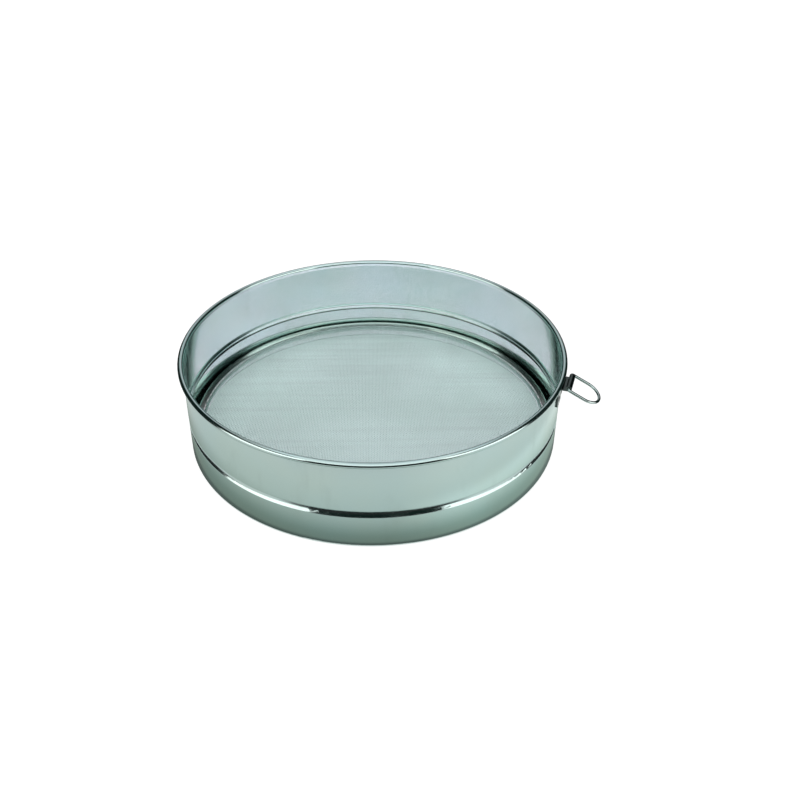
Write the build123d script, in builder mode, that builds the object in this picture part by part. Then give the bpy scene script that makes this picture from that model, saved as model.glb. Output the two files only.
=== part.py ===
from build123d import *
from math import acos, asin, cos, degrees, radians, sin, tan
import os

os.makedirs("parts", exist_ok=True)

# Driving dimensions, in mm. The drum axis is Z, the base stands on Z = 0 and the hanger is at +X.
rim_radius = 150.0            # outside of the rolled rim
drum_height = 75.0            # base to the top of the rolled rim
wall_inner = 146.2            # bore of the drum wall
sheet = 0.6                   # drum wall sheet

rim_roll_radius = 2.2         # outside radius of the rim roll's section
rim_flare_radius = 3.0        # bend that leads the wall into the roll, which stands a little proud inside
rim_wire_radius = 1.55        # wire held in the rim roll
rim_roll_sweep = 305.0        # degrees of roll before the sheet ends under the rim

bead_height = 30.9            # deepest line of the stiffening bead above the base
bead_depth = 1.8
bead_step_angle = 70.0        # the bead steps in steeply under the upper wall
bead_step_radius = 0.9
bead_crease_radius = 0.5      # tight bend at the deepest line
bead_crease_angle = 8.0
bead_sweep_radius = 9.0       # long curve back out to the lower wall
bead_sweep_angle = 36.0
bead_foot_radius = 0.8

base_corner_radius = 2.8      # outside corner between the wall and the standing face
base_flat = 0.7               # flat standing face
base_turn_radius = 1.2        # outside radius of the base's other bends
shelf_height = 9.6            # top of the shelf that carries the screen
shelf_lip_radius = 137.0      # inner face of the shelf's turned-down lip
shelf_lip_bottom = 7.3

hoop_outer_radius = 143.9     # passes the bead with a gap all round
hoop_inner_radius = 139.0
hoop_bulb_radius = 1.8        # round outer part of the screen hoop's section
hoop_sheet = 0.45
hoop_lip_slope = 18.0         # degrees from level where the lips pinch the cloth
screen_lift = 0.3             # gap between the hoop and the shelf it stands on
hoop_wire_radius = 1.25

cloth_radius = 140.7
cloth_thickness = 0.8         # two wires of 0.4 crossing

pivot_radius = 154.2          # link pivot, measured from the drum axis
pivot_drop = 3.6              # link pivot below the top of the rim
link_wire_radius = 1.12
link_half_width = 10.9        # pivot bar centre to leg centre, along the pivot
link_length = 24.4
link_corner_radius = 1.6
link_tilt = 25.0              # degrees below level at rest

strap_sheet = 1.1
strap_width = 18.5
strap_bore_radius = 1.2       # running fit on the link wire
strap_foot = 52.0             # lower edge of the strap above the base
strap_corner_radius = 3.0

rivet_height = 58.8
rivet_half_angle = 1.9        # degrees either side of the hanger's middle
rivet_shank_radius = 1.45
rivet_hole_radius = 1.5
rivet_head_radius = 2.7
rivet_head_height = 0.5

# Derived positions.
wall_outer = wall_inner + sheet
bead_bends = bead_step_radius + bead_crease_radius
step_run = bead_depth - bead_bends * (1 - cos(radians(bead_step_angle)))
step_drop = bead_bends * sin(radians(bead_step_angle)) + step_run / tan(radians(bead_step_angle))
bead_step_centre = (wall_outer - bead_step_radius, bead_height + step_drop)
bead_crease_centre = (wall_outer - bead_depth + bead_crease_radius, bead_height)
sweep_step = bead_sweep_radius - bead_crease_radius
bead_sweep_centre = (
    bead_crease_centre[0] + sweep_step * cos(radians(bead_crease_angle)),
    bead_height + sweep_step * sin(radians(bead_crease_angle)),
)
sweep_end = bead_sweep_centre[0] - bead_sweep_radius * cos(radians(bead_sweep_angle))
foot_run = wall_outer - sweep_end - bead_foot_radius * (1 - cos(radians(bead_sweep_angle)))
foot_drop = foot_run / tan(radians(bead_sweep_angle))
foot_reach = bead_sweep_radius + bead_foot_radius
bead_foot_centre = (
    wall_outer - bead_foot_radius,
    bead_sweep_centre[1] - foot_reach * sin(radians(bead_sweep_angle)) - foot_drop,
)
rim_centre = (rim_radius - rim_roll_radius, drum_height - rim_roll_radius)
rim_span = rim_roll_radius + rim_flare_radius
rim_lean = degrees(acos((rim_centre[0] - wall_inner + rim_flare_radius) / rim_span))
rim_flare_centre = (wall_inner - rim_flare_radius, rim_centre[1] - rim_span * sin(radians(rim_lean)))
base_corner_centre = (wall_outer - base_corner_radius, base_corner_radius)
base_turn_centre = (base_corner_centre[0] - base_flat, base_turn_radius)
leg_face = base_turn_centre[0] - base_turn_radius
shelf_bend_centre = (leg_face - base_turn_radius + sheet, shelf_height - base_turn_radius)
lip_bend_centre = (shelf_lip_radius + base_turn_radius, shelf_height - base_turn_radius)
cloth_height = shelf_height + screen_lift + hoop_bulb_radius
hoop_centre = (hoop_outer_radius - hoop_bulb_radius, cloth_height)
lip_turn = 90 + hoop_lip_slope
lip_run = hoop_centre[0] + hoop_bulb_radius * cos(radians(lip_turn)) - hoop_inner_radius
lip_length = lip_run / cos(radians(hoop_lip_slope))
pivot_height = drum_height - pivot_drop
barrel_radius = strap_bore_radius + strap_sheet
shelf_bottom = pivot_height - barrel_radius
shelf_top = shelf_bottom + strap_sheet
strap_face = wall_outer + strap_sheet
grip_inner = wall_inner - 0.03
dome_radius = (rivet_head_radius ** 2 + rivet_head_height ** 2) / (2 * rivet_head_height)
dome_sink = dome_radius - rivet_head_height
dome_angle = degrees(asin(rivet_head_radius / dome_radius))


# Drum: one revolved strip with a wired rim, a bead pressed inward, and a base turned up inside to
# a shelf for the screen. Both sides of the strip are the same run of lines and arcs, a sheet apart.
with BuildPart() as drum_shell:
    with BuildSketch(Plane.XZ):
        with BuildLine():
            ends = []
            for depth in (0, sheet):
                roll_start = 180 + rim_lean - rim_roll_sweep
                rim_roll = CenterArc(rim_centre, rim_roll_radius - depth, roll_start, rim_roll_sweep)
                flare = CenterArc(rim_flare_centre, rim_flare_radius + depth, rim_lean, -rim_lean)
                inset = sheet - depth
                step = CenterArc(bead_step_centre, bead_step_radius - inset, 0, -bead_step_angle)
                Line(flare @ 1, step @ 0)
                crease_sweep = bead_step_angle + bead_crease_angle
                crease_start = 180 - bead_step_angle
                crease = CenterArc(bead_crease_centre, bead_crease_radius + inset, crease_start, crease_sweep)
                Line(step @ 1, crease @ 0)
                sweep_turn = bead_sweep_angle - bead_crease_angle
                sweep_start = 180 + bead_crease_angle
                sweep = CenterArc(bead_sweep_centre, bead_sweep_radius + inset, sweep_start, sweep_turn)
                foot = CenterArc(bead_foot_centre, bead_foot_radius - inset, bead_sweep_angle, -bead_sweep_angle)
                Line(sweep @ 1, foot @ 0)
                corner = CenterArc(base_corner_centre, base_corner_radius - inset, 0, -90)
                Line(foot @ 1, corner @ 0)
                turn = CenterArc(base_turn_centre, base_turn_radius - sheet + depth, -90, -90)
                Line(corner @ 1, turn @ 0)
                shelf_bend = CenterArc(shelf_bend_centre, base_turn_radius - depth, 0, 90)
                Line(turn @ 1, shelf_bend @ 0)
                lip_bend = CenterArc(lip_bend_centre, base_turn_radius - depth, 90, 90)
                Line(shelf_bend @ 1, lip_bend @ 0)
                lip = Line(lip_bend @ 1, (shelf_lip_radius + depth, shelf_lip_bottom))
                ends.append((rim_roll @ 0, lip @ 1))
            Line(ends[0][0], ends[1][0])
            Line(ends[0][1], ends[1][1])
        make_face()
    revolve(axis=Axis.Z)
    for side in (-1, 1):
        with Locations(Rotation(0, 0, side * rivet_half_angle) * Location((wall_inner, 0, rivet_height))):
            Cylinder(rivet_hole_radius, 8 * sheet, rotation=(0, 90, 0), mode=Mode.SUBTRACT)
drum_shell.part.label = "drum_shell"

# Wire ring closed inside the rim roll.
with BuildPart() as rim_wire:
    with BuildSketch(Plane.XZ):
        with Locations(rim_centre):
            Circle(rim_wire_radius)
    revolve(axis=Axis.Z)
rim_wire.part.label = "rim_wire"

# Screen hoop: a strip folded over the edge of the cloth, round outside and pinched inside.
with BuildPart() as screen_hoop:
    with BuildSketch(Plane.XZ):
        with BuildLine():
            ends = []
            for depth in (0, hoop_sheet):
                bulb = CenterArc(hoop_centre, hoop_bulb_radius - depth, lip_turn, -2 * lip_turn)
                upper_lip = PolarLine(bulb @ 0, lip_length, 180 + hoop_lip_slope)
                lower_lip = PolarLine(bulb @ 1, lip_length, 180 - hoop_lip_slope)
                ends.append((upper_lip @ 1, lower_lip @ 1))
            Line(ends[0][0], ends[1][0])
            Line(ends[0][1], ends[1][1])
        make_face()
    revolve(axis=Axis.Z)
screen_hoop.part.label = "screen_hoop"

# Wire ring inside the round part of the hoop.
with BuildPart() as hoop_wire:
    with BuildSketch(Plane.XZ):
        with Locations(hoop_centre):
            Circle(hoop_wire_radius)
    revolve(axis=Axis.Z)
hoop_wire.part.label = "hoop_wire"

# Wire cloth, as a plain disc of the woven thickness.
with BuildPart() as screen_cloth:
    with Locations((0, 0, cloth_height)):
        Cylinder(cloth_radius, cloth_thickness)
screen_cloth.part.label = "screen_cloth"

# Strap: a leg on the wall, a shelf passing under the rim and a barrel closed round the link.
with BuildPart() as hanger_strap:
    with BuildSketch(Plane.XZ):
        with Locations(((wall_inner + strap_face) / 2 + 0.3, (strap_foot + shelf_top) / 2)):
            Rectangle(strap_face - wall_inner + 0.6, shelf_top - strap_foot)
        with Locations(((wall_outer + pivot_radius) / 2, (shelf_bottom + shelf_top) / 2)):
            Rectangle(pivot_radius - wall_outer, strap_sheet)
        with Locations((pivot_radius, pivot_height)):
            Circle(barrel_radius)
            Circle(strap_bore_radius, mode=Mode.SUBTRACT)
    extrude(amount=strap_width / 2, both=True)
    with BuildSketch(Plane.XY.offset(strap_foot)):
        Circle(wall_outer)
    extrude(amount=shelf_top - strap_foot, mode=Mode.SUBTRACT)
    with BuildSketch(Plane.XY.offset(strap_foot)):
        Circle(rim_radius + strap_width)
        Circle(strap_face, mode=Mode.SUBTRACT)
    extrude(amount=shelf_bottom - strap_foot, mode=Mode.SUBTRACT)
    bend_inside = hanger_strap.edges().filter_by_position(Axis.Z, shelf_bottom - 0.01, shelf_bottom + 0.01)
    fillet(bend_inside.filter_by(GeomType.CIRCLE).sort_by(Axis.X)[0], 1.0)
    foot_corners = hanger_strap.edges().filter_by_position(Axis.Z, strap_foot - 0.01, strap_foot + 0.01)
    fillet(foot_corners.filter_by(Axis.X), strap_corner_radius)
    for side in (-1, 1):
        with Locations(Rotation(0, 0, side * rivet_half_angle) * Location((wall_outer, 0, rivet_height))):
            Cylinder(rivet_hole_radius, 8 * sheet, rotation=(0, 90, 0), mode=Mode.SUBTRACT)
hanger_strap.part.label = "hanger_strap"

# Rivet with its axis on Z, its height being the distance from the drum axis.
with BuildPart() as rivet:
    with BuildSketch(Plane.XZ):
        with BuildLine():
            dome_out = CenterArc((0, strap_face - dome_sink), dome_radius, 90 - dome_angle, dome_angle)
            dome_in = CenterArc((0, grip_inner + dome_sink), dome_radius, -90, dome_angle)
            Line(dome_out @ 1, dome_in @ 0)
            Polyline(dome_out @ 0, (rivet_shank_radius, strap_face), (rivet_shank_radius, grip_inner), dome_in @ 1)
        make_face()
    revolve(axis=Axis.Z)

# Two of them through the strap and the wall, heads outside and inside.
with BuildPart() as hanger_rivets:
    for side in (-1, 1):
        turn = Rotation(0, 0, side * rivet_half_angle)
        add(rivet.part.moved(turn * Location((0, 0, rivet_height)) * Rotation(0, 90, 0)))
hanger_rivets.part.label = "hanger_rivets"

# Link: a closed wire loop whose straight inner bar turns in the strap barrel.
tilt = radians(link_tilt)
link_plane = Plane((pivot_radius, 0, pivot_height), x_dir=(cos(tilt), 0, -sin(tilt)), z_dir=(sin(tilt), 0, cos(tilt)))
bar_end = link_half_width - link_corner_radius
leg_end = link_length - link_half_width
with BuildPart(link_plane) as hanger_link:
    Cylinder(link_wire_radius, 2 * bar_end, rotation=(90, 0, 0))
    for side in (-1, 1):
        with Locations((link_corner_radius, side * bar_end)):
            Torus(link_corner_radius, link_wire_radius, major_angle=90, rotation=(0, 0, 135 - 45 * side), align=None)
        with Locations(((link_corner_radius + leg_end) / 2, side * link_half_width)):
            Cylinder(link_wire_radius, leg_end - link_corner_radius, rotation=(0, 90, 0))
    with Locations((leg_end, 0)):
        Torus(link_half_width, link_wire_radius, major_angle=180, rotation=(0, 0, -90), align=None)
hanger_link.part.label = "hanger_link"

for piece in (drum_shell, rim_wire, screen_hoop, hoop_wire, screen_cloth, hanger_strap, hanger_rivets, hanger_link):
    export_step(piece.part, f"parts/{piece.part.label}.step")
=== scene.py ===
import math
import bpy
from mathutils import Matrix, Vector


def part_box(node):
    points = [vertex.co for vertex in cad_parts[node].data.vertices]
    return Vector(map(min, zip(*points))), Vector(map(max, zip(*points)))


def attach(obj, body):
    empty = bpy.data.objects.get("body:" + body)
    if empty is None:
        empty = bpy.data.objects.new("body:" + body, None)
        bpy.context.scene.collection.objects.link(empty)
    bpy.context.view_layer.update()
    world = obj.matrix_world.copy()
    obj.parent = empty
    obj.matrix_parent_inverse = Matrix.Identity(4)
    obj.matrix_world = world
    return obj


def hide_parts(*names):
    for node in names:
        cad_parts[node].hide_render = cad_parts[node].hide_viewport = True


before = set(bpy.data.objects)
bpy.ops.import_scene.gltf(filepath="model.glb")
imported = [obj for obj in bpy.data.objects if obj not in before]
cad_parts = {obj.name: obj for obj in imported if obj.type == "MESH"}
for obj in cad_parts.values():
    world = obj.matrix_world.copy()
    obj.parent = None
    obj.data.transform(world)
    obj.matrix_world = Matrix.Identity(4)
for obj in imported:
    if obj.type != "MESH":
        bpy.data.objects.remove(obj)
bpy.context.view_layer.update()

bpy.ops.object.select_all(action="DESELECT")

cameraSetup = {
    "turn": 19.0,               # degrees the hanger stands round towards the viewer
    "elevation": 31.18,
    "distance": 0.7253,         # from the middle of the rolled rim
    "yaw": 1.61,
    "pitch": -3.41,
    "roll": -0.48,
    "focal": 41.84,
    "sensor": 36.0,
}


class Link:
    # a socket with arithmetic: each expression adds its Math node
    def __init__(self, maker, socket):
        self.maker = maker
        self.socket = socket

    def maths(self, operation, first, second):
        return self.maker.add("Math", {"operation": operation}, {0: first, 1: second})

    def __add__(self, other):
        return self.maths("ADD", self, other)

    def __radd__(self, other):
        return self.maths("ADD", other, self)

    def __sub__(self, other):
        return self.maths("SUBTRACT", self, other)

    def __rsub__(self, other):
        return self.maths("SUBTRACT", other, self)

    def __mul__(self, other):
        return self.maths("MULTIPLY", self, other)

    def __rmul__(self, other):
        return self.maths("MULTIPLY", other, self)

    def __abs__(self):
        return self.maths("ABSOLUTE", self, 0.0)


class Maker:
    # builds one node tree, of a material or of the world
    def __init__(self, tree):
        self.tree = tree
        self.tree.nodes.clear()

    def add(self, kind, settings=None, inputs=None, output=0):
        node = self.tree.nodes.new("ShaderNode" + kind)
        for key, value in (settings or {}).items():
            if key == "stops":
                ramp = node.color_ramp
                while len(ramp.elements) > len(value):
                    ramp.elements.remove(ramp.elements[-1])
                while len(ramp.elements) < len(value):
                    ramp.elements.new(1.0)
                for element, (position, colour) in zip(ramp.elements, value):
                    element.position = position
                    element.color = (*colour, 1.0)
            else:
                setattr(node, key, value)
        for key, value in (inputs or {}).items():
            if isinstance(value, Link):
                self.tree.links.new(value.socket, node.inputs[key])
            else:
                node.inputs[key].default_value = value
        return Link(self, node.outputs[output]) if node.outputs else None

    def mixColour(self, factor, first, second):
        pair = {0: factor, 6: asColour(first), 7: asColour(second)}
        return self.add("Mix", {"data_type": "RGBA"}, pair, 2)

    def stretch(self, place, scale):
        return self.add("Mapping", {}, {"Vector": place, "Scale": scale})

    def noise(self, place, scale, detail=2.0, roughness=0.5):
        values = {"Vector": place, "Scale": scale, "Detail": detail, "Roughness": roughness}
        return self.add("TexNoise", {}, values)

    def remap(self, value, low, high, toLow=0.0, toHigh=1.0):
        values = {0: value, 1: low, 2: high, 3: toLow, 4: toHigh}
        return self.add("MapRange", {"clamp": True, "interpolation_type": "SMOOTHSTEP"}, values)

    def between(self, value, low, high, edge):
        # 1 inside low..high, falling to 0 over the edge on either side
        return self.remap(value, low - edge, low) * self.remap(value, high, high + edge, 1.0, 0.0)


def asColour(value):
    return value if isinstance(value, Link) else (*value, 1.0)


def newMaterial(name):
    material = bpy.data.materials.new(name)
    material.use_nodes = True
    return material, Maker(material.node_tree)


def aroundAxis(maker):
    # a place on the drum as turn, height and distance, so a grain can run round it
    place = maker.add("TexCoord", {}, {}, 3)
    across, along, height = (maker.add("SeparateXYZ", {}, {0: place}, i) for i in range(3))
    turn = maker.add("Math", {"operation": "ARCTAN2"}, {0: along, 1: across})
    radius = maker.add("Math", {"operation": "SQRT"}, {0: across * across + along * along})
    return place, turn, height, radius


sheetSteel = {
    "colour": (0.585, 0.735, 0.70),
    "cool": (0.57, 0.74, 0.73),
    "dull": (0.44, 0.56, 0.52),
    "roughness": 0.10,
    "grainStretch": (1.8, 2600.0, 2600.0),      # round the drum, up it and out from it
    "grainRoughness": 0.05,
    "grainDepth": 0.03,
    "waveStretch": (2.6, 16.0, 16.0),
    "waveDepth": 0.10,
    "bumpStrength": 0.25,
    "bumpDistance": 0.0006,
    "cloudScale": 14.0,
    "smearScale": 46.0,
    "smearRoughness": 0.09,
    "handledMarks": 0.16,
    "speckScale": 900.0,
    "speckRoughness": 0.05,
    "shelf": 0.1430,            # all of the drum inside this radius, shelf and leg, is painted darker: painted shade under the cloth
    "shelfEdge": 0.0008,
    "shelfDull": (0.24, 0.31, 0.29),
    "seam": (0.0702, 0.0711),   # painted shade where the rim roll closes on the wall: a narrow dark line standing in for the shadow under a thicker roll
    "seamEdge": 0.0003,
    "seamOutside": (0.1466, 0.1467),
    "seamDirt": (0.05, 0.065, 0.06),
}


def makeSheetSteel(name, finish):
    # polished sheet: a fine grain round the drum, faint cloudy wiping marks and a slow wave
    material, maker = newMaterial(name)
    place, turn, height, radius = aroundAxis(maker)
    rolled = maker.add("CombineXYZ", {}, {0: turn, 1: height, 2: radius})
    grain = maker.noise(maker.stretch(rolled, finish["grainStretch"]), 1.0, 3.0, 0.6)
    cloud = maker.noise(place, finish["cloudScale"], 3.0, 0.55)
    smear = maker.noise(maker.stretch(place, (1.0, 1.0, 0.35)), finish["smearScale"], 4.0, 0.6)
    specks = maker.noise(place, finish["speckScale"], 1.0, 0.5)
    cloudMask = maker.remap(cloud, 0.35, 0.7)
    smearMask = maker.remap(smear, 0.54, 0.74)
    tint = maker.mixColour(cloudMask, finish["colour"], finish["cool"])
    tint = maker.mixColour(smearMask * finish["handledMarks"], tint, finish["dull"])
    # painted shade: the shelf and the leg under the cloth are darkened
    inside, edge = finish["shelf"], finish["shelfEdge"]
    shelf = maker.remap(radius, inside, inside + edge, 1.0, 0.0)
    # painted shade: a narrow dark line on the outside of the wall, just under the rim roll
    low, high = finish["seam"]
    seam = maker.between(height, low, high, finish["seamEdge"])
    seam = seam * maker.remap(radius, *finish["seamOutside"])
    tint = maker.mixColour(shelf, tint, finish["shelfDull"])
    tint = maker.mixColour(seam, tint, finish["seamDirt"])
    rough = finish["roughness"] + grain * finish["grainRoughness"]
    rough = rough + smearMask * finish["smearRoughness"]
    rough = rough + maker.remap(specks, 0.68, 0.8) * finish["speckRoughness"]
    wave = maker.noise(maker.stretch(rolled, finish["waveStretch"]), 1.0, 1.0, 0.4)
    lift = grain * finish["grainDepth"] + wave * finish["waveDepth"]
    bump = maker.add("Bump", {}, {
        "Strength": finish["bumpStrength"], "Distance": finish["bumpDistance"], "Height": lift})
    shader = maker.add("BsdfPrincipled", {}, {
        "Base Color": tint, "Metallic": 1.0, "Roughness": rough, "Normal": bump})
    maker.add("OutputMaterial", {}, {"Surface": shader})
    return material


wireSteel = {
    "colour": (0.56, 0.70, 0.67),
    "worn": (0.64, 0.77, 0.75),
    "roughness": 0.28,
    "drawnPitch": 700.0,
    "drawnRoughness": 0.1,
    "drawnDepth": 0.00008,
    "patchScale": 9.0,
}


def makeWireSteel(name, finish):
    # drawn wire: fine drawing marks and slow patches of brighter, rubbed metal
    material, maker = newMaterial(name)
    place = maker.add("TexCoord", {}, {}, 3)
    draw = maker.noise(place, finish["drawnPitch"], 2.0, 0.6)
    patch = maker.noise(place, finish["patchScale"], 2.0, 0.5)
    tint = maker.mixColour(maker.remap(patch, 0.35, 0.65), finish["colour"], finish["worn"])
    rough = finish["roughness"] + maker.remap(draw, 0.3, 0.7) * finish["drawnRoughness"]
    bump = maker.add("Bump", {}, {
        "Strength": 0.15, "Distance": finish["drawnDepth"], "Height": draw})
    shader = maker.add("BsdfPrincipled", {}, {
        "Base Color": tint, "Metallic": 1.0, "Roughness": rough, "Normal": bump})
    maker.add("OutputMaterial", {}, {"Surface": shader})
    return material


clothWire = {
    "colour": (0.46, 0.66, 0.60),
    "worn": (0.53, 0.73, 0.68),
    "slack": (0.33, 0.48, 0.44),
    "roughness": 0.28,
    "lay": 19.0,                # degrees the weave is turned about the drum axis
    "offset": (0.31, 0.17, 0.5),            # keeps the streaks off the noise's own grid
    "patchScale": 11.0,
    "alongStretch": (7.0, 260.0, 1.0),      # long streaks, a few wires wide, each way
    "acrossStretch": (260.0, 9.0, 1.0),
    "alongMarks": 0.45,
    "acrossMarks": 0.18,
}


def makeClothWire(name):
    # wire cloth: long darker streaks, a few wires wide, run along and across the weave
    material, maker = newMaterial(name)
    place = maker.add("TexCoord", {}, {}, 3)
    laid = maker.add("Mapping", {"vector_type": "POINT"}, {
        "Vector": place, "Location": clothWire["offset"],
        "Rotation": (0, 0, math.radians(-clothWire["lay"]))})
    along = maker.noise(maker.stretch(laid, clothWire["alongStretch"]), 1.0, 3.0, 0.6)
    across = maker.noise(maker.stretch(laid, clothWire["acrossStretch"]), 1.0, 2.0, 0.6)
    patch = maker.noise(place, clothWire["patchScale"], 2.0, 0.5)
    tint = maker.mixColour(maker.remap(patch, 0.35, 0.65), clothWire["colour"], clothWire["worn"])
    alongMask = maker.remap(along, 0.40, 0.72) * clothWire["alongMarks"]
    acrossMask = maker.remap(across, 0.48, 0.76) * clothWire["acrossMarks"]
    tint = maker.mixColour(alongMask, tint, clothWire["slack"])
    tint = maker.mixColour(acrossMask, tint, clothWire["slack"])
    shader = maker.add("BsdfPrincipled", {}, {
        "Base Color": tint, "Metallic": 1.0, "Roughness": clothWire["roughness"]})
    maker.add("OutputMaterial", {}, {"Surface": shader})
    return material


def dress(node, material):
    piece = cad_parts[node]
    piece.data.materials.clear()
    piece.data.materials.append(material)


brightHoop = {
    **sheetSteel,
    "colour": (0.78, 0.83, 0.79),
    "cool": (0.76, 0.83, 0.80),
    "roughness": 0.14,
    "shelf": 0.0,               # the painted shade on the shelf is the drum's own
}
# painted shade: the polished strap and its rivets are coloured near black for how dark they look;
# the strap itself is bright steel
paintedDarkStrap = {
    **sheetSteel,
    "colour": (0.07, 0.09, 0.085),
    "cool": (0.08, 0.10, 0.095),
    "roughness": 0.14,
    "shelf": 0.0,
    "seam": (0.0, 0.0001),      # too low to reach the strap
}
brightLink = {
    **wireSteel,
    "colour": (0.38, 0.48, 0.46),
    "worn": (0.54, 0.65, 0.63),
    "roughness": 0.10,
}
drumFinish = makeSheetSteel("polished drum sheet", sheetSteel)
hoopFinish = makeSheetSteel("polished hoop strip", brightHoop)
strapFinish = makeSheetSteel("polished strap sheet", paintedDarkStrap)
linkFinish = makeWireSteel("bright link wire", brightLink)
coreFinish = makeWireSteel("drawn core wire", wireSteel)
clothFinish = makeClothWire("woven cloth wire")
dress("drum_shell", drumFinish)
dress("screen_hoop", hoopFinish)
dress("hanger_strap", strapFinish)
dress("hanger_rivets", strapFinish)
dress("hanger_link", linkFinish)
dress("rim_wire", coreFinish)
dress("hoop_wire", coreFinish)
print("finishes made")


cloth = {
    "pitch": 0.0012,
    "wire": 0.0002,           # radius, and the crimp either side of the middle
    "sides": 4,
    "margin": 0.00015,        # kept back from the edge of the disc
}


def setActive(piece):
    bpy.ops.object.select_all(action="DESELECT")
    piece.select_set(True)
    bpy.context.view_layer.objects.active = piece


def addArray(piece, step, count):
    array = piece.modifiers.new("repeat", "ARRAY")
    array.use_relative_offset = False
    array.use_constant_offset = True
    array.constant_offset_displace = step
    array.count = count
    array.use_merge_vertices = True
    array.merge_threshold = cloth["wire"] * 0.1
    setActive(piece)
    bpy.ops.object.modifier_apply(modifier=array.name)


def crimpedWire(name):
    # one wire, over and under, two pitches long
    bpy.ops.object.select_all(action="DESELECT")
    bpy.ops.mesh.primitive_circle_add(
        vertices=cloth["sides"], radius=cloth["wire"], fill_type="NOTHING",
        location=(0, 0, cloth["wire"]), rotation=(0, math.pi / 2, 0))
    wire = bpy.context.object
    wire.name = name
    bpy.ops.object.mode_set(mode="EDIT")
    for drop in (-2, 2):
        bpy.ops.mesh.select_mode(type="EDGE")
        bpy.ops.mesh.extrude_edges_move(
            TRANSFORM_OT_translate={"value": (cloth["pitch"], 0, drop * cloth["wire"])})
    bpy.ops.object.mode_set(mode="OBJECT")
    bpy.ops.object.transform_apply(location=True, rotation=True, scale=True)
    return wire


def weave(name, lowest, highest):
    radius = (highest.x - lowest.x) / 2 - cloth["margin"]
    middle = (lowest + highest) / 2
    count = math.ceil(radius / cloth["pitch"]) + 2
    count += count % 2
    start = -count * cloth["pitch"]
    wire = crimpedWire(name)
    addArray(wire, (2 * cloth["pitch"], 0, 0), count)
    setActive(wire)
    bpy.ops.object.duplicate()
    other = bpy.context.object
    other.location = (cloth["pitch"], cloth["pitch"], 0)
    bpy.ops.object.transform_apply(location=True)
    wire.select_set(True)
    bpy.context.view_layer.objects.active = wire
    bpy.ops.object.join()
    addArray(wire, (0, 2 * cloth["pitch"], 0), count)
    wire.location = (start, start, 0)
    setActive(wire)
    bpy.ops.object.transform_apply(location=True)
    bpy.ops.object.duplicate()
    weft = bpy.context.object
    weft.name = name + "_weft"
    weft.rotation_euler = (0, 0, math.pi / 2)
    weft.location = (cloth["pitch"], 0, 0)
    bpy.ops.object.transform_apply(location=True, rotation=True)
    wire.name = name + "_warp"
    sheets = []
    for piece, split in ((wire, 1), (weft, 0)):
        for side in (-1, 1):
            sheets.append(trimToDisc(piece, radius, split, side, middle))
        bpy.data.objects.remove(piece)
    return sheets


def trimToDisc(piece, radius, split, side, middle):
    # keeps the wires of one half of the disc and closes their cut ends
    setActive(piece)
    bpy.ops.object.duplicate()
    half = bpy.context.object
    half.name = piece.name + ("_near" if side < 0 else "_far")
    bpy.ops.object.mode_set(mode="EDIT")
    bpy.ops.mesh.select_mode(type="VERT")
    bpy.ops.mesh.select_all(action="DESELECT")
    bpy.ops.object.mode_set(mode="OBJECT")
    cut = cloth["pitch"] / 2
    for vertex in half.data.vertices:
        place = vertex.co
        if math.hypot(place.x, place.y) > radius or (place[split] + cut) * side < 0:
            vertex.select = True
    bpy.ops.object.mode_set(mode="EDIT")
    bpy.ops.mesh.delete(type="VERT")
    bpy.ops.mesh.select_all(action="SELECT")
    bpy.ops.mesh.fill_holes(sides=cloth["sides"])
    bpy.ops.mesh.select_all(action="SELECT")
    bpy.ops.mesh.normals_make_consistent(inside=False)
    bpy.ops.object.mode_set(mode="OBJECT")
    half.location = middle
    half.rotation_euler = (0, 0, math.radians(clothWire["lay"]))
    bpy.ops.object.transform_apply(location=True, rotation=True)
    bpy.ops.object.shade_smooth()
    return half


for piece in weave("cloth", *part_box("screen_cloth")):
    piece.data.materials.append(clothFinish)
    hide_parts("screen_cloth")
    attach(piece, "screen")
    print(piece.name, len(piece.data.polygons))
print("cloth woven")


paper = {
    "size": 6.0,
    "drop": 0.0002,             # below the standing face
    "glow": 0.82,               # what the camera sees of the open paper
    "underGlow": (0.33, 0.42, 0.40),    # and of the paper inside the foot, dimmer: painted shade under the drum
    "grain": (0.44, 0.48),
    "speckleScale": 300.0,
    "foot": 0.1468,             # the drum wall, where the paper's shading starts
    "reach": 0.245,             # where it ends
    "reachEdge": 0.006,
    "openEdge": (-0.0015, -0.0005),     # from the foot, where the camera sees open paper
    "shadeEdge": (-0.008, -0.006),      # and where the steel mirrors the shades
    "lighterSide": (1.5, 1.12),         # painted light: how much paler to the right, near and far
    "lighterReach": (0.030, 0.050),     # from the foot, between the near and far values
    "lighterTurn": (2.0, 34.0),         # degrees from straight ahead
    "lighterEnd": (90.0, 160.0),
    "gapAhead": (30.0, 42.0),           # dark beyond the reach, straight ahead
    "gapSides": (68.0, 78.0),           # and at the sides and behind
    "shades": (                 # painted contact shadow that the steel mirrors, from the foot outwards
        (0.0, (0.10, 0.12, 0.11)), (0.035, (0.12, 0.14, 0.13)), (0.05, (0.22, 0.26, 0.23)),
        (0.11, (0.25, 0.30, 0.27)), (0.17, (0.33, 0.38, 0.35)), (0.24, (0.44, 0.48, 0.45)),
        (0.38, (0.60, 0.63, 0.61)), (0.68, (0.69, 0.70, 0.68)), (1.0, (0.72, 0.71, 0.71))),
    "under": (1.94, 1.56, 1.82),        # painted light: what the steel mirrors inside the foot glows brighter than white, standing in for light through the screen
    "gap": (0.02, 0.022, 0.022),        # mirrored where it is dark
}


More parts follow.
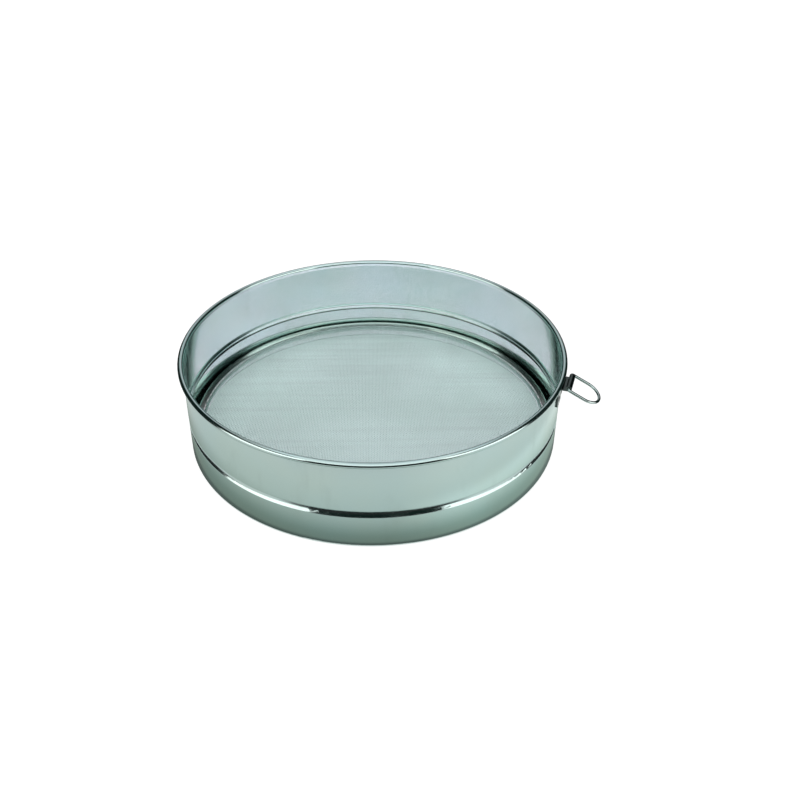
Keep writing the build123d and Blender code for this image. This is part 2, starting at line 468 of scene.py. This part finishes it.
def layPaper():
    bpy.ops.object.select_all(action="DESELECT")
    bpy.ops.mesh.primitive_plane_add(size=paper["size"], location=(0, 0, -paper["drop"]))
    floor = bpy.context.object
    floor.name = "floor"
    material, maker = newMaterial("pale paper")
    place, turn, height, radius = aroundAxis(maker)
    speckle = maker.remap(maker.noise(place, paper["speckleScale"], 2.0, 0.5), 0.3, 0.7)
    low, high = paper["grain"]
    tone = maker.mixColour(speckle, (low, low, low), (high, high, high))
    foot, reach = paper["foot"], paper["reach"]
    low, high = paper["openEdge"]
    openPaper = maker.remap(radius, foot + low, foot + high)
    glow = maker.mixColour(openPaper, paper["underGlow"], [paper["glow"]] * 3)
    seen = maker.add("BsdfPrincipled", {}, {
        "Base Color": tone, "Roughness": 0.9, "Specular IOR Level": 0.0,
        "Emission Color": glow, "Emission Strength": 1.0})
    outward = maker.add("MapRange", {"clamp": True}, {0: radius, 1: foot, 2: reach})
    shade = maker.add("ValToRGB", {"stops": paper["shades"]}, {0: outward})
    ahead = math.radians(cameraSetup["turn"] - 90.0)
    aside = maker.add("Math", {"operation": "WRAP"}, {0: turn - ahead, 1: -math.pi, 2: math.pi})
    near, far = paper["lighterReach"]
    gain = maker.remap(radius, foot + near, foot + far, *paper["lighterSide"])
    lit = maker.add("VectorMath", {"operation": "SCALE"}, {0: shade, "Scale": gain})
    paler = maker.remap(aside, *map(math.radians, paper["lighterTurn"]))
    paler = paler * maker.remap(aside, *map(math.radians, paper["lighterEnd"]), 1.0, 0.0)
    shade = maker.mixColour(paler, shade, lit)
    low, high = paper["shadeEdge"]
    outside = maker.remap(radius, foot + low, foot + high)
    shade = maker.mixColour(outside, paper["under"], shade)
    gap = maker.remap(abs(aside), *map(math.radians, paper["gapAhead"]), 1.0, 0.0)
    gap = gap + maker.remap(abs(aside), *map(math.radians, paper["gapSides"]))
    gap = gap * maker.remap(radius, reach - paper["reachEdge"], reach + paper["reachEdge"])
    shade = maker.mixColour(gap, shade, paper["gap"])
    mirrored = maker.add("Emission", {}, {"Color": shade, "Strength": 1.0})
    cameraSees = maker.add("LightPath", {}, {}, 0)
    both = maker.add("MixShader", {}, {0: cameraSees, 1: mirrored, 2: seen})
    maker.add("OutputMaterial", {}, {"Surface": both})
    floor.data.materials.append(material)


studio = {
    "dark": (0.005, 0.014, 0.012),
    "overhead": (1.00, 1.02, 1.05),
    "front": (1.25, 1.24, 1.24),
    "boxes": (1.75, 1.68, 1.64),
    "back": (0.62, 0.62, 0.64),
    "behind": (1.0, 1.0, 1.0),  # what the camera sees past the paper
    "overheadFrom": (48.0, 64.0),       # degrees above level
    "backTurn": (140.0, 172.0),         # degrees from straight ahead, either side
    "backLift": (8.0, 30.0),
    "frontTurn": (44.0, 56.0),
    "frontLift": (28.0, 54.0, 6.0),     # low, high and soft edge
    "boxTurn": (38.0, 86.0, 3.0),
    "boxLift": (-30.0, 34.0, 4.0),
}


def lightStudio():
    world = bpy.data.worlds.new("studio")
    bpy.context.scene.world = world
    world.use_nodes = True
    maker = Maker(world.node_tree)
    direction = maker.add("TexCoord", {}, {}, 0)
    turned = maker.add("Mapping", {"vector_type": "POINT"}, {
        "Vector": direction, "Rotation": (0, 0, math.radians(-cameraSetup["turn"]))})
    right, away, up = (maker.add("SeparateXYZ", {}, {0: turned}, i) for i in range(3))
    degree = math.degrees(1.0)
    lift = maker.add("Math", {"operation": "ARCSINE"}, {0: up}) * degree
    aside = maker.add("Math", {"operation": "ARCTAN2"}, {0: right, 1: 0.0 - away}) * degree
    spread = abs(aside)
    ceiling = maker.remap(lift, *studio["overheadFrom"])
    colour = maker.mixColour(ceiling, studio["dark"], studio["overhead"])
    back = maker.remap(spread, *studio["backTurn"]) * maker.remap(lift, *studio["backLift"])
    colour = maker.mixColour(back, colour, studio["back"])
    front = maker.remap(spread, *studio["frontTurn"], 1.0, 0.0)
    front = front * maker.between(lift, *studio["frontLift"])
    colour = maker.mixColour(front, colour, studio["front"])
    boxes = maker.between(spread, *studio["boxTurn"]) * maker.between(lift, *studio["boxLift"])
    colour = maker.mixColour(boxes, colour, studio["boxes"])
    colour = maker.mixColour(maker.add("LightPath", {}, {}, 0), colour, studio["behind"])
    background = maker.add("Background", {}, {"Color": colour, "Strength": 1.0})
    maker.add("OutputWorld", {}, {"Surface": background})


def placeCamera():
    lowest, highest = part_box("drum_shell")
    rimTop = Vector(((lowest.x + highest.x) / 2, (lowest.y + highest.y) / 2, highest.z))
    turn = math.radians(cameraSetup["turn"])
    lift = math.radians(cameraSetup["elevation"])
    back = Vector((math.sin(turn), -math.cos(turn), 0))
    forward = -back * math.cos(lift) - Vector((0, 0, math.sin(lift)))
    right = Vector((math.cos(turn), math.sin(turn), 0))
    place = rimTop - forward * cameraSetup["distance"]
    up = right.cross(forward)
    for name, pair in (("yaw", "fr"), ("pitch", "fu"), ("roll", "ru")):
        angle = math.radians(cameraSetup[name])
        c, s = math.cos(angle), math.sin(angle)
        if pair == "fr":
            forward, right = forward * c + right * s, right * c - forward * s
        elif pair == "fu":
            forward, up = forward * c + up * s, up * c - forward * s
        else:
            right, up = right * c + up * s, up * c - right * s
    data = bpy.data.cameras.new("camera")
    data.lens = cameraSetup["focal"]
    data.sensor_width = cameraSetup["sensor"]
    camera = bpy.data.objects.new("camera", data)
    bpy.context.scene.collection.objects.link(camera)
    camera.matrix_world = Matrix((
        (right.x, up.x, -forward.x, place.x),
        (right.y, up.y, -forward.y, place.y),
        (right.z, up.z, -forward.z, place.z),
        (0, 0, 0, 1)))
    bpy.context.scene.camera = camera


layPaper()
lightStudio()
placeCamera()
bpy.context.scene.view_settings.view_transform = "Standard"
print("studio set")
